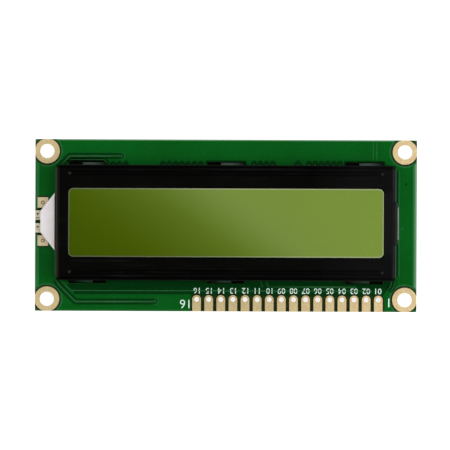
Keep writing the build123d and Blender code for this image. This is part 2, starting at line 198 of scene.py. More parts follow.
MASK_DEEP = "#004a0c"
MASK_PALE = "#015415"
# Colours of the painted highlight along the board's edges and of the painted sheen on its right end
# and upper side
MASK_EDGE_HIGHLIGHT = "#2a6c39"
MASK_EDGE_SHEEN = "#7fa083"
CLOTH_THREAD_X = 0.5 * MM
CLOTH_THREAD_Y = 0.4 * MM
LAMINATE_LAYER = 0.2 * MM
COPPER_FROM_END = 0.75 * MM
COPPER_FROM_SIDE = 0.25 * MM
COPPER_EDGE = 0.15 * MM
MASK_THIN = 0.35 * MM
MASK_SKIN = 0.07 * MM
END_HIGHLIGHT_SHARE = 0.75
SIDE_HIGHLIGHT_SHARE = 0.375
EDGE_SHEEN_SHARE = 0.55


def screened_solder_mask():
    """Liquid solder mask screened over copper on glass-fibre laminate. It gives the eye a deep satin
    green, cloudy over centimetres and finely speckled, and sawn sides with the cloth's straw-coloured
    layers between two green skins. A pale rim is painted along the edges, past where the copper stops
    short of them: a painted highlight of that step and of the edge. A paler band along the right end
    and the upper side is a painted sheen."""
    material, tree, where = new_material("solder_mask_screened_on_laminate")
    x, y, z = add(tree, "SeparateXYZ", {0: where}, out=None)
    off = add(tree, "VectorMath", {0: where}, operation="ABSOLUTE")
    off_x, off_y, _ = add(tree, "SeparateXYZ", {0: off}, out=None)
    normal = add(tree, "NewGeometry", out="Normal")
    tilt = add(tree, "SeparateXYZ", {0: normal}, out="Z")
    face = add(tree, "Math", {0: tilt}, operation="ABSOLUTE")
    face = add(tree, "MapRange", {"Value": face, "From Min": 0.4, "From Max": 0.6})

    cloudy, clouds = patches(tree, where, 11 * MM, MASK_DEEP, MASK_PALE)
    speckle, grain = patches(tree, where, 0.25 * MM, "#003306", "#056a25", 0.35, 0.75)

    # Painted highlight: a pale rim round the board, past the copper's edge
    end_from, side_from = board_high.x - COPPER_FROM_END, board_high.y - COPPER_FROM_SIDE
    end_highlight = inside(tree, off_x, end_from, board_high.x, COPPER_EDGE, END_HIGHLIGHT_SHARE)
    side_highlight = inside(tree, off_y, side_from, board_high.y, COPPER_EDGE, SIDE_HIGHLIGHT_SHARE)
    rim = add(tree, "Math", {0: end_highlight, 1: side_highlight}, operation="MAXIMUM")
    # Painted sheen: a paler band along the right end and the upper side
    end_from, side_from = board_high.x - MASK_THIN, board_high.y - MASK_THIN / 2
    end_sheen = inside(tree, x, end_from, board_high.x, COPPER_EDGE, EDGE_SHEEN_SHARE)
    side_sheen = inside(tree, y, side_from, board_high.y, COPPER_EDGE / 2, EDGE_SHEEN_SHARE)
    thin = add(tree, "Math", {0: end_sheen, 1: side_sheen}, operation="MAXIMUM")
    mask = layered(
        tree, cloudy, (0.22, speckle), (rim, linear(MASK_EDGE_HIGHLIGHT)), (thin, linear(MASK_EDGE_SHEEN)),
    )

    threads = (math.tau / CLOTH_THREAD_X, math.tau / CLOTH_THREAD_Y, math.tau / LAMINATE_LAYER)
    turns = add(tree, "VectorMath", {0: where, 1: threads}, operation="MULTIPLY")
    waves = add(tree, "VectorMath", {0: turns}, operation="SINE")
    along, across, layer = add(tree, "SeparateXYZ", {0: waves}, out=None)
    fibre = add(tree, "TexNoise", {"Vector": where, "Scale": 1 / (0.15 * MM), "Detail": 4.0})
    layer = add(tree, "Math", {0: layer, 1: 0.22, 2: fibre}, operation="MULTIPLY_ADD")
    depth = add(tree, "Math", {0: z, 1: board_thickness / 2}, operation="SUBTRACT")
    depth = add(tree, "Math", {0: depth}, operation="ABSOLUTE")
    skins = inside(tree, depth, board_thickness / 2 - MASK_SKIN, board_thickness, 0.03 * MM)
    colour = layered(
        tree, linear("#6a6e3e"), (layer, linear("#b8b480")), (skins, linear("#1a5527")), (face, mask),
    )

    weave = add(tree, "Math", {0: along, 1: across}, operation="MULTIPLY")
    height = add(tree, "Math", {0: weave, 1: 0.1, 2: clouds}, operation="MULTIPLY_ADD")
    rough = add(tree, "MapRange", {"Value": grain, "To Min": 0.32, "To Max": 0.42})
    return coated(
        material, colour, height, 0.02 * MM, 0.15, (face, 0.75, rough), Specular_IOR_Level=0.05,
    )


def covered_copper(name, low_hex, high_hex, specular=0.1):
    """The same mask in the shade it takes over a single trace, over bare laminate, or where it laps
    a pad: the eye sees a thin satin line, a little uneven along its length."""
    material, tree, where = new_material(name)
    colour, pattern = patches(tree, where, 0.5 * MM, low_hex, high_hex)
    return coated(
        material, colour, pattern, 0.006 * MM, 0.3, 0.38, Specular_IOR_Level=specular,
    )


# Where painted shade darkens the gold: darkest round a point left of the board's middle
GOLD_SHADE_MIDDLE_X = -12 * MM
GOLD_SHADE_HALF = 14 * MM
GOLD_SHADE_SOFT = 30 * MM


def immersion_gold():
    """Immersion gold on nickel: a pale satin yellow, mottled with rose where the plating is thin, and
    paler on the square pads, with the fine grain of the copper foil below. It is darker over the
    middle and the left, which is painted shade."""
    material, tree, where = new_material("immersion_gold_plating")
    mottled, blotches = patches(tree, where, 0.8 * MM, "#dbc892", "#d9b48c", 0.4, 0.62)
    grain, pits = patches(tree, where, 0.2 * MM, "#a98f58", "#fbf0c4", 0.35, 0.65)
    x, y, _ = add(tree, "SeparateXYZ", {0: where}, out=None)
    # Painted shade, darker over the middle and the left
    away = add(tree, "Math", {0: x, 1: GOLD_SHADE_MIDDLE_X}, operation="SUBTRACT")
    away = add(tree, "Math", {0: away}, operation="ABSOLUTE")
    dull = inside(tree, away, 0.0, GOLD_SHADE_HALF, GOLD_SHADE_SOFT)
    paler = inside(tree, y, square_low.y, square_high.y, 1 * MM)
    colour = layered(
        tree, mottled, (dull, linear("#bfab7b")), (paler, linear("#dfcfab")), (0.22, grain),
    )
    return coated(material, colour, pits, 0.01 * MM, 0.4, (blotches, 0.34, 0.55), Metallic=0.3)


def plugged_hole():
    """A hole through a gold pad, plugged and plated over: a tan dot in a brown ring, as the plating
    is thin over the plug's rim."""
    material, tree, where = new_material("plated_plug_tan")
    middle = ((square_low.x + square_high.x) / 2, (square_low.y + square_high.y) / 2)
    half_pitch = (square_high.y - square_low.y) / 2 - (square_high.x - square_low.x) / 2
    radius = off_corners(tree, where, middle, (0.0, half_pitch))
    ring = inside(tree, radius, PLUG_RING, FAR, 0.06 * MM)
    centre, grain = patches(tree, where, 0.15 * MM, "#d8c39c", "#e6d5b2")
    colour = layered(tree, centre, (ring, linear("#7d5f3e")))
    return coated(material, colour, grain, 0.01 * MM, 0.3, 0.5, Metallic=0.2)


def tin_solder():
    """Tin solder, melted and set: a bright grey that is smooth in places and frosted in others."""
    material, tree, where = new_material("tin_solder_reflowed")
    colour, ripples = patches(tree, where, 0.35 * MM, "#ece4cc", "#bcb492")
    frost = add(tree, "TexNoise", {"Vector": where, "Scale": 1 / (0.08 * MM)})
    return coated(material, colour, ripples, 0.03 * MM, 0.5, (frost, 0.2, 0.6), Metallic=0.2)


# The painted reflection that lightens the bezel towards its right end, most of all beside the window
PALER_FROM_X = 18 * MM
PALER_TO_X = 28 * MM
PALER_SHARE = 0.27
BESIDE_WINDOW_HALF = 6 * MM
BESIDE_WINDOW_SHARE = 0.7
FOLD_HIGHLIGHT_WIDTH = 0.55 * MM
FACE_GLOSS = 0.06
END_FOLD_GLOSS = 0.12
CRAZED_GLOSS = 0.01


def baked_black_paint():
    """Steel sheet painted black, baked, then punched and folded. It is near black and satin with a
    fine orange peel and long faint rub marks. The folds are dull, as the paint crazed there. Painted
    highlights lie on it: grey at the ends of the two beads and brown along the left fold. Where the
    tabs step outwards it is bared to a grey-green undercoat with a painted sheen, paler on the upper
    tabs. It is lighter towards the right end, most of all beside the window: a painted reflection."""
    material, tree, where = new_material("steel_sheet_black_baked_paint")
    x, y, z = add(tree, "SeparateXYZ", {0: where}, out=None)
    off_y = add(tree, "Math", {0: y, 1: display_y}, operation="SUBTRACT")

    paint, _ = patches(tree, where, 12 * MM, "#020302", "#050505")
    stretched = add(tree, "Mapping", {"Vector": where, "Scale": (0.04, 1.0, 1.0)})
    rubbed, _ = patches(tree, stretched, 0.4 * MM, "#000000", "#303032", 0.6, 0.85)
    off_wall = add(tree, "Math", {0: off_y}, operation="ABSOLUTE")
    past_end = BEZEL_HALF_X + 1 * MM
    bent = inside(tree, z, bezel_high.z - FOLD_DEPTH, bezel_high.z + 1 * MM, 0.1 * MM)

    # Painted reflection: lighter from the middle towards the right end, most of all beside the window
    # and at the end
    ramp = inside(tree, x, PALER_TO_X, FAR, PALER_TO_X - PALER_FROM_X, PALER_SHARE)
    beside = inside(tree, x, WINDOW_HALF_X, past_end, 0.4 * MM, BESIDE_WINDOW_SHARE)
    beside = inside(tree, off_wall, 0.0, BESIDE_WINDOW_HALF, 2 * MM, beside)
    at_end = inside(tree, x, FOLD_FROM_X, past_end, 0.3 * MM, BESIDE_WINDOW_SHARE)
    beside = add(tree, "Math", {0: beside, 1: at_end}, operation="MAXIMUM")
    thin = add(tree, "Math", {0: ramp, 1: beside}, operation="MAXIMUM")
    # Painted highlight in brown along the left fold
    fold_highlight_edge = -FOLD_FROM_X - FOLD_HIGHLIGHT_WIDTH
    left_fold_highlight = inside(tree, x, -FAR, fold_highlight_edge, FOLD_HIGHLIGHT_WIDTH, bent)

    # The tabs' steps: a grey-green undercoat with a painted sheen, paler on the upper tabs and over
    # most of each tab
    step = inside(tree, off_wall, TAB_REACH, TAB_REACH + 1 * MM, 0.05 * MM)
    above = inside(tree, z, TAB_STEP_FLOOR, 5 * MM, 0.2 * MM, step)
    along = add(tree, "Math", {0: x, 1: SLOT_PITCH / 2, 2: -SLOT_PITCH / 2}, operation="WRAP")
    scraped_and_sheen = inside(tree, along, -0.3 * MM, 1.2 * MM, 2.6 * MM, above)
    upper = inside(tree, off_y, 1 * MM, FAR, 2 * MM)
    primer_and_sheen = layered(tree, linear("#22392a"), (upper, linear("#434f48")))

    # Painted highlight at the ends of the two beads
    from_tip = off_corners(tree, where, (0.0, display_y), (BEAD_TIP_X, BEAD_TIP_Y))
    bead_tip_highlight = inside(tree, from_tip, 0.0, 0.1 * MM, 0.3 * MM, 0.45)
    colour = layered(
        tree, paint, (0.2, rubbed), (thin, linear("#121214")), (left_fold_highlight, linear("#24201b")),
        (bead_tip_highlight, linear("#353634")), (scraped_and_sheen, primer_and_sheen),
    )

    end_fold = inside(tree, x, -FAR, -FOLD_FROM_X - FOLD_SOFT, FOLD_SOFT, 0.5)
    side_fold = inside(tree, off_wall, FOLD_FROM_Y + FOLD_SOFT, FAR, FOLD_SOFT)
    fold = add(tree, "Math", {0: end_fold, 1: side_fold}, operation="MAXIMUM")
    fold = add(tree, "Math", {0: fold, 1: bent}, operation="MULTIPLY")
    flat = add(
        tree, "MapRange",
        {"Value": x, "From Min": FOLD_FROM_X - FOLD_SOFT, "From Max": FOLD_FROM_X,
         "To Min": FACE_GLOSS, "To Max": END_FOLD_GLOSS},
    )
    gloss = add(tree, "MapRange", {"Value": fold, "To Min": flat, "To Max": CRAZED_GLOSS})

    peel = add(tree, "TexNoise", {"Vector": where, "Scale": 1 / (0.45 * MM), "Detail": 2.0})
    return coated(
        material, colour, peel, 0.01 * MM, 0.2, (peel, 0.26, 0.36), Specular_IOR_Level=gloss,
    )


def polariser_over_cell():
    """Polariser film on a yellow-green liquid-crystal cell with a reflecting rear. It gives the eye a
    dark olive that turns bright yellow-green where it mirrors the light, under a hard clear skin.
    Along its border a thin pale line is painted on: a painted reflection of the window's bare rim."""
    material, tree, where = new_material("polariser_film_on_twisted_cell")
    film, _ = patches(tree, where, 20 * MM, "#577104", "#5b7506")
    # Painted reflection of the window's bare rim: a thin pale line along the border
    halves = (WINDOW_HALF_X - WINDOW_CORNER, WINDOW_HALF_Y - WINDOW_CORNER)
    border = off_corners(tree, where, (0.0, display_y), halves, outside=True)
    mirrored = inside(tree, border, WINDOW_CORNER - RIM_MIRRORED, FAR, 0.05 * MM)
    colour = layered(tree, film, (mirrored, linear("#828d6c")))
    dust = add(tree, "TexNoise", {"Vector": where, "Scale": 1 / (0.3 * MM)})
    return coated(
        material, colour, dust, 0.0003 * MM, 0.2, 0.08, Metallic=0.67, Specular_IOR_Level=0.2,
        Coat_Weight=1.0, Coat_Roughness=0.02, Coat_IOR=1.42,
    )


def milky_acrylic():
    """Acrylic loaded with white and injection moulded: milky and satin, cooler towards the lamp's end,
    with faint flow lines away from the gate. A thin dark band where it goes through the bezel's walls
    is painted shadow, in the gaps beside the walls."""
    material, tree, where = new_material("acrylic_moulded_milky")
    x = add(tree, "SeparateXYZ", {0: where}, out="X")
    root = inside(tree, x, guide_low.x + GUIDE_ROOT, FAR, GUIDE_ROOT)
    # Painted shadow: thin dark bands where it passes the bezel's walls
    wall_shadow = inside(tree, x, bezel_low.x - GUIDE_SHADOW_WIDTH, bezel_low.x + 1 * MM, 0.06 * MM)
    far_wall_shadow = inside(tree, x, bezel_high.x - 1 * MM, bezel_high.x + TAB_SHADOW_WIDTH, 0.02 * MM)
    wall_shadow = add(tree, "Math", {0: wall_shadow, 1: far_wall_shadow}, operation="MAXIMUM")
    stretched = add(tree, "Mapping", {"Vector": where, "Scale": (0.35, 1.0, 1.0)})
    flow, lines = patches(tree, stretched, 1.2 * MM, "#e2d8d8", "#edebf2", 0.4, 0.7)
    colour = layered(
        tree, linear("#e7e3ea"), (root, linear("#eae7e0")), (0.3, flow), (wall_shadow, linear("#17150f")),
    )
    return coated(
        material, colour, lines, 0.02 * MM, 0.2, 0.4,
        IOR=1.49, Subsurface_Weight=0.15, Subsurface_Scale=1.5 * MM,
    )


def poured_epoxy():
    """Black epoxy poured over a chip and cured: a soft gloss that swells slowly, dull in patches,
    with a few pinholes where air left it."""
    material, tree, where = new_material("epoxy_poured_black")
    colour, dust = patches(tree, where, 0.25 * MM, "#0b0b0c", "#1b1a1b", 0.45, 0.8)
    swell = add(tree, "TexNoise", {"Vector": where, "Scale": 1 / (4 * MM), "Detail": 2.0})
    cells = add(tree, "TexVoronoi", {"Vector": where, "Scale": 1 / (2 * MM)}, out="Distance")
    holes = add(tree, "MapRange", {"Value": cells, "From Min": 0.04, "From Max": 0.1})
    height = add(tree, "Math", {0: holes, 1: 0.2, 2: swell}, operation="MULTIPLY_ADD")
    return coated(
        material, colour, height, 0.2 * MM, 0.4, (dust, 0.2, 0.45), Specular_IOR_Level=0.45,
    )


def float_glass():
    """Thin float glass, scored and snapped: clear, a little green, with small shell marks along its
    cut edges."""
    material, tree, where = new_material("float_glass_snapped")
    colour, chips = patches(tree, where, 0.5 * MM, "#e2efe6", "#cfe2d5")
    return coated(
        material, colour, chips, 0.01 * MM, 0.1, 0.05, IOR=1.52, Transmission_Weight=0.9,
    )


def legend_ink():
    """White ink printed through a screen: flat, a little green from the mask below, and thin in
    spots."""
    material, tree, where = new_material("legend_ink_screened")
    colour, specks = patches(tree, where, 0.2 * MM, "#dcf2e6", "#b5dac4", 0.4, 0.75)
    return coated(material, colour, specks, 0.01 * MM, 0.4, 0.6)


GRAIN_ROUGHENS = 0.1


def grained(name, low_hex, high_hex, size, depth, roughness, metallic):
    """A moulded, pressed or fired surface: two close shades in grains of the given size, which also
    roughen it."""
    material, tree, where = new_material(name)
    colour, grain = patches(tree, where, size, low_hex, high_hex)
    rough = (grain, roughness - GRAIN_ROUGHENS, roughness + GRAIN_ROUGHENS)
    return coated(material, colour, grain, depth, 0.35, rough, Metallic=metallic)


def dress(material, *names):
    """Gives a finish to solids of the frame."""
    for name in names:
        slots = nodes[name].data.materials
        slots.clear()
        slots.append(material)


gold = immersion_gold()
solder = tin_solder()
ink = legend_ink()
# The shades over laminate, at laps and where the mask is pulled thin also carry painted shade, painted
# shadow and painted highlights beside the bezel, the vias and the lamp pads
line_mask = covered_copper("solder_mask_over_trace", "#174d21", "#20552b")
gap_mask = covered_copper("solder_mask_over_laminate_and_painted_shade", "#002c08", "#00340f", 0.03)
lap_mask = covered_copper("solder_mask_lapped_edge_and_painted_shade", "#14180a", "#222a0a")
halo_mask = covered_copper("solder_mask_pulled_thin_and_painted_sheen", "#0e5522", "#1c6030")

dress(screened_solder_mask(), "circuit_board")
dress(gold, "mounting_hole_lands", "header_pads", "square_pads")
dress(gold, "contact_row_upper", "contact_row_lower")
dress(plugged_hole(), "square_pad_plugs")
dress(solder, "lamp_pads", "lamp_leads", "resistor_caps", "capacitor_caps")
dress(line_mask, "via_plugs")
dress(baked_black_paint(), "bezel")
dress(polariser_over_cell(), "front_polarizer")
dress(milky_acrylic(), "light_guide")
dress(poured_epoxy(), "controller_seal", "driver_seal")
dress(float_glass(), "front_glass", "rear_glass")

# Plain finishes: a name, two shades, the size and the depth of the grain in millimetres, the
# roughness and the metallic share, then the solids. Films are rolled and smooth, the lamp's chalky
# housing is moulded, rubber is extruded, and resistors and capacitors are glazed or fired.
PLAIN_FINISHES = (
    ("polyester_film_white", "#f0f0ee", "#e2e3e0", 0.6, 0.004, 0.35, 0.0,
     "reflector_sheet", "diffuser_film"),
    ("polariser_film_mirrored", "#7f8a4c", "#6d7840", 0.3, 0.002, 0.3, 0.4, "rear_polarizer"),
    ("polyamide_moulded_white", "#f1eee2", "#dcd6bf", 0.2, 0.006, 0.45, 0.0, "backlight_lamp"),
    ("silicone_rubber_extruded", "#8f9496", "#a4a8a8", 0.4, 0.02, 0.55, 0.0,
     "contact_strip_upper", "contact_strip_lower"),
    ("silicone_rubber_carbon_layers", "#151515", "#262626", 0.1, 0.01, 0.6, 0.0,
     "strip_core_upper", "strip_core_lower"),
    ("resin_cured_bead", "#d9d6c4", "#c7c3ab", 0.3, 0.01, 0.25, 0.0, "fill_port_plug"),
    ("resistor_glaze_fired", "#141416", "#242428", 0.15, 0.01, 0.35, 0.0, "resistor_bodies"),
    ("capacitor_ceramic_fired", "#8d6a48", "#a57f58", 0.12, 0.01, 0.55, 0.0, "capacitor_bodies"),
)
for name, low_hex, high_hex, size, depth, roughness, metallic, *solids in PLAIN_FINISHES:
    finish = grained(name, low_hex, high_hex, size * MM, depth * MM, roughness, metallic)
    dress(finish, *solids)


# Places under the photograph's pixels

FRAME_PX = 450
FIELD_WIDTH = 94.34 * MM
PX = FIELD_WIDTH / FRAME_PX
CAMERA_X = -0.205 * MM
CAMERA_Y = 0.117 * MM
ROLL = math.radians(0.225)


def spots(*pixels):
    """Places on the board under pixels of the photograph: each pixel's offset from the middle of the
    frame, turned by the camera's roll and laid out from the point below the camera."""
    right, down = (np.array(pixels, float) - FRAME_PX / 2).T * PX
    x = CAMERA_X + right * math.cos(ROLL) + down * math.sin(ROLL)
    y = CAMERA_Y + right * math.sin(ROLL) - down * math.cos(ROLL)
    return np.stack([x, y], 1)


# Surfaces worked out on grids

SINK = 0.004 * MM
INK_HEIGHT = 0.02 * MM
GAP_HEIGHT = 0.006 * MM
LAP_HEIGHT = 0.012 * MM
LINE_HEIGHT = 0.03 * MM
EDGE_MARGIN = 0.05 * MM
TRACE_POINTS = 7
ROUND_END_POINTS = 17


def skin(rings):
    """A closed skin over a grid of rings, one row of points per ring: quads between neighbouring
    rings, which close round on themselves, and one flat face over the first and the last."""
    rows, columns, _ = rings.shape
    row, column = np.meshgrid(np.arange(rows - 1), np.arange(columns), indexing="ij")
    here = row * columns + column
    beside = row * columns + (column + 1) % columns
    quads = np.stack([here, beside, beside + columns, here + columns], -1).reshape(-1, 4)
    last = (rows - 1) * columns
    caps = [list(range(columns))[::-1], list(range(last, last + columns))]
    return rings.reshape(-1, 3), quads.tolist() + caps


def bar(route, profile, base, up):
    """A profile of offsets and heights carried along a flat route. At a corner it lies on the line
    that halves the turn, and is stretched there by one over the cosine of half the turn, so that
    the bar keeps its width."""
    line = np.asarray(route, float)
    steps = np.diff(line, axis=0)
    steps /= np.linalg.norm(steps, axis=1, keepdims=True)
    before = np.vstack([steps[:1], steps])
    after = np.vstack([steps, steps[-1:]])
    middle = before + after
    middle /= np.linalg.norm(middle, axis=1, keepdims=True)
    across = np.stack([-middle[:, 1], middle[:, 0]], 1) / (middle * before).sum(1)[:, None]
    offsets, heights = np.asarray(profile, float).T
    rings = np.empty((len(line), len(offsets), 3))
    rings[..., :2] = line[:, None, :] + across[:, None, :] * offsets[None, :, None]
    rings[..., 2] = base + up * heights
    return skin(rings)


def trace(route, width, base=board_face, up=1):
    """A round-topped bar, as mask lies over a trace: its height follows the square root of a cosine
    across its width."""
    shares = np.linspace(-1, 1, TRACE_POINTS)
    heights = LINE_HEIGHT * np.sqrt(np.cos(shares * math.pi / 2).clip(0))
    profile = list(zip(shares * width / 2, heights))
    return bar(route, [(-width / 2, -SINK), *profile, (width / 2, -SINK)], base, up)


def band(route, width, height, base=board_face, up=1):
    """A flat-topped bar."""
    half = width / 2
    profile = [(half, -SINK), (half, height), (-half, height), (-half, -SINK)]
    return bar(route, profile, base, up)


def patch(outline, height):
    """A thin plate with the given outline, on the board's face."""
    rings = np.empty((2, len(outline), 3))
    rings[..., :2] = outline
    rings[0, :, 2] = board_face - SINK
    rings[1, :, 2] = board_face + height
    return skin(rings)


def button(center, radius, height, base=board_face, up=1, sides=20):
    """A low dome: at a share s of the radius its height is the cosine of s quarter turns."""
    shares = np.array([1.0, 1.0, 0.85, 0.6, 0.3, 0.03])
    lifts = height * np.cos(shares * math.pi / 2)
    lifts[0] = -SINK
    turns = np.arange(sides) * math.tau / sides
    rings = np.empty((len(shares), sides, 3))
    rings[..., 0] = center[0] + radius * shares[:, None] * np.cos(turns)
    rings[..., 1] = center[1] + radius * shares[:, None] * np.sin(turns)
    rings[..., 2] = base + up * lifts[:, None]
    return skin(rings)


def arc_strip(center, inner, outer, height, start, end, base=board_face, up=1, sides=40):
    """Part of a flat ring, cut off where it would pass the board's edges: a four-cornered section
    carried round its centre, whose outer side is the nearer of the outer circle and the edge."""
    turns = np.linspace(start, end, sides)
    cos, sin = np.cos(turns), np.sin(turns)
    room_x = (board_high.x - EDGE_MARGIN - np.sign(cos) * center[0]) / np.abs(cos).clip(1e-6)
    room_y = (board_high.y - EDGE_MARGIN - np.sign(sin) * center[1]) / np.abs(sin).clip(1e-6)
    reach = np.minimum(outer, np.minimum(room_x, room_y))
    radii = np.stack([np.full(sides, inner), np.full(sides, inner), reach, reach], 1)
    rings = np.empty((sides, 4, 3))
    rings[..., 0] = center[0] + radii * cos[:, None]
    rings[..., 1] = center[1] + radii * sin[:, None]
    rings[..., 2] = base + up * np.array([-SINK, height, height, -SINK])
    return skin(rings)


def box_frame(low, high, width, height, base=board_face, up=1):
    """Four bands just outside a rectangle."""
    half = width / 2
    left, right = low[0] - half, high[0] + half
    bottom, top = low[1] - half, high[1] + half
    routes = [
        [(left, bottom - half), (left, top + half)], [(right, bottom - half), (right, top + half)],
        [(left, bottom), (right, bottom)], [(left, top), (right, top)],
    ]
    return [band(route, width, height, base, up) for route in routes]


def add_piece(name, parts, material, smooth=False):
    """Joins closed skins into one object that rides on the module, with its normals facing out."""
    starts = np.cumsum([0] + [len(points) for points, _ in parts])
    points = np.concatenate([points for points, _ in parts])
    faces = [[i + start for i in face] for (_, own), start in zip(parts, starts) for face in own]
    mesh = bpy.data.meshes.new(name)
    mesh.from_pydata(points.tolist(), [], faces)
    turned = bmesh.new()
    turned.from_mesh(mesh)
    bmesh.ops.recalc_face_normals(turned, faces=turned.faces)
    turned.to_mesh(mesh)
    turned.free()
    mesh.polygons.foreach_set("use_smooth", [smooth] * len(mesh.polygons))
    mesh.materials.append(material)
    piece = bpy.data.objects.new(name, mesh)
    bpy.context.scene.collection.objects.link(piece)
    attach(piece, "root")


# Places of the repeated features

land_places = [
    (side_x * (board_high.x - LAND_FROM_EDGE), side_y * (board_high.y - LAND_FROM_EDGE))
    for side_x in (-1, 1) for side_y in (-1, 1)
]
pin_places = [PIN_ONE_X - i * PIN_PITCH for i in range(PIN_COUNT)]
slots_x = (-SLOT_PITCH, 0.0, SLOT_PITCH)

LAP_WIDTH = 0.3 * MM
LAND_LAP_WIDTH = 0.36 * MM
HALO_WIDTH = 0.35 * MM
LAMP_HOLE_X = -39.475 * MM
LAMP_HOLES_Y = (2.33 * MM, -0.37 * MM)
LAMP_HOLE_SHADE_RADIUS = 0.21 * MM
PIN_GAP = PIN_PITCH - 2 * PIN_PAD_HALF
LAND_CUT_MARGIN = 0.02
SHORT_ARC_SIDES = 12


def land_rings(inner, outer, height, base=board_face, up=1):
    """Rings round the four lands: the long arc that faces the board's middle, and the short one that
    is left in the corner. The edge cuts a circle at the angle whose cosine is the land's distance
    from the edge over the radius."""
    rings = []
    cut = math.acos((LAND_FROM_EDGE - EDGE_MARGIN) / inner) + LAND_CUT_MARGIN
    for x, y in land_places:
        corner = math.atan2(math.copysign(1, y), math.copysign(1, x))
        long_start = corner + math.pi / 4 + cut
        long_end = corner + math.tau - math.pi / 4 - cut
        rings.append(arc_strip((x, y), inner, outer, height, long_start, long_end, base, up))
        half = math.pi / 4 - cut
        short = (corner - half, corner + half)
        rings.append(arc_strip((x, y), inner, outer, height, *short, base, up, SHORT_ARC_SIDES))
    return rings


def pad_surrounds(height, base=board_face, up=1):
    """A dark border round each header pad: a band up one side, over the round end and down."""
    radius = PIN_PAD_HALF + PIN_GAP / 4
    turns = np.linspace(0, math.pi, ROUND_END_POINTS)
    low_y = board_low.y + EDGE_MARGIN
    surrounds = []
    for x in pin_places:
        over_end = np.stack([x + radius * np.cos(turns), PIN_ROW_Y + radius * np.sin(turns)], 1)
        route = [(x + radius, low_y), *over_end.tolist(), (x - radius, low_y)]
        surrounds.append(band(route, PIN_GAP / 2, height, base, up))
    return surrounds


# Front: bare laminate, traces and laps under the mask, with painted shade and highlights beside the
# bezel

UPPER_TRACE_PX = ((59.5, 166.3), (69.8, 155.85), (119.8, 156.05))
UPPER_STEP_PX = ((71.0, 159.5), (104.2, 159.65), (109.3, 164.5))
LOWER_TRACE_PX = ((61.5, 279.5), (64.4, 283.5), (67.2, 286.9), (71.0, 290.5), (372.0, 291.2))
EDGE_TRACE_PX = ((55.5, 279.5), (58.0, 283.6), (60.8, 286.8), (75.3, 301.5), (153.4, 301.6))
ROW_LINE_PX = ((268.8, 286.9), (356.5, 287.25))
STUB_PX = ((261.4, 280.5), (261.4, 284.6), (262.8, 287.3))
STUB_TWO_PX = ((266.2, 280.5), (266.5, 283.4), (268.8, 286.9))
BEND_PX = ((391.5, 280.5), (391.3, 284.0), (389.8, 287.2), (386.8, 289.8))
BEND_TWO_PX = ((395.2, 280.5), (394.6, 285.6), (392.3, 289.4), (389.3, 291.6))
BARE_ZONE_PX = (
    (66.0, 283.9), (69.0, 287.2), (73.5, 291.3), (73.5, 294.0), (190.0, 294.4),
    (192.5, 296.6), (382.0, 297.2), (386.5, 290.8), (389.5, 287.0), (389.5, 284.6),
)
TRACE_VIAS_PX = ((121.5, 155.9), (154.9, 301.2))
VIA_HEAD_RADIUS = 0.3 * MM
VIA_GAP_RADIUS = 0.6 * MM
NOTCH_SIDE = 0.7 * MM
DIMPLE_PX = (406.0, 184.4)
LAMP_PAD_DARK_LINE_PX = ((35.7, 217.9), (39.3, 217.9))
FAINT_LINES_PX = (((373.3, 142.5), (373.2, 160.5)), ((376.9, 142.5), (376.8, 160.5)))
SCALLOP_ROWS_PX = ((110, 129), (160, 204), (251, 276), (294, 302), (306, 343))
SCALLOP_Y_PX = 163.4
SCALLOP_PITCH = 1.27 * MM
SCALLOP_RADIUS = 0.6 * MM
SIDE_LINE_LEFT_X = -35.84 * MM
SIDE_LINE_RIGHT_X = 36.3 * MM
SIDE_LINE_WIDTH = 0.34 * MM
SIDE_LINE_INSET = 1.5 * MM
BOLD_GAP_WIDTH = 1.3 * MM
FINE_GAP_WIDTH = 0.75 * MM
BOLD_TRACE_WIDTH = 0.42 * MM
FINE_TRACE_WIDTH = 0.26 * MM
FAINT_LINE_WIDTH = 0.2 * MM
VIA_RIM_WIDTH = 0.15 * MM
DARK_LINE_WIDTH = 0.14 * MM
DIMPLE_RADIUS = 0.25 * MM
SLOT_FRAME_WIDTH = 0.3 * MM
SCALLOP_BAND_DROP = 0.3 * MM
SCALLOP_BAND_WIDTH = 0.5 * MM
SCALLOP_DOT_DROP = 0.35 * MM
SCALLOP_DOT_RADIUS = 0.2 * MM
BARE_ZONE_END_X = SLOT_PITCH + 5.4 * MM

bold_routes = [spots(*UPPER_TRACE_PX), spots(*EDGE_TRACE_PX)]
fine_routes = [spots(*route) for route in (UPPER_STEP_PX, BEND_PX, BEND_TWO_PX)]
on_bare_routes = [spots(*route) for route in (STUB_PX, STUB_TWO_PX, LOWER_TRACE_PX)]

gaps = [band(route, BOLD_GAP_WIDTH, GAP_HEIGHT) for route in bold_routes]
gaps += [band(route, FINE_GAP_WIDTH, GAP_HEIGHT) for route in fine_routes]
gaps.append(patch(spots(*BARE_ZONE_PX), GAP_HEIGHT))
gaps.append(button(spots(DIMPLE_PX)[0], DIMPLE_RADIUS, GAP_HEIGHT))
bare_y = display_y - SLOT_REACH
bare_width = 2 * (SLOT_HALF_WIDTH + EDGE_MARGIN)
bare_ends = (-SLOT_HALF_LENGTH, SLOT_PITCH - SLOT_HALF_LENGTH, BARE_ZONE_END_X)
for slot_x, end_x in zip(slots_x, bare_ends):
    start_x = slot_x + SLOT_HALF_LENGTH + EDGE_MARGIN
    gaps.append(band([(start_x, bare_y), (end_x - EDGE_MARGIN, bare_y)], bare_width, GAP_HEIGHT))
lines = [trace(route, BOLD_TRACE_WIDTH) for route in bold_routes]
lines += [trace(route, FINE_TRACE_WIDTH) for route in (*fine_routes, *on_bare_routes)]
lines.append(trace(spots(*ROW_LINE_PX), BOLD_TRACE_WIDTH))
halos = [band(spots(*route), FAINT_LINE_WIDTH, GAP_HEIGHT) for route in FAINT_LINES_PX]
quarter = math.pi / 2
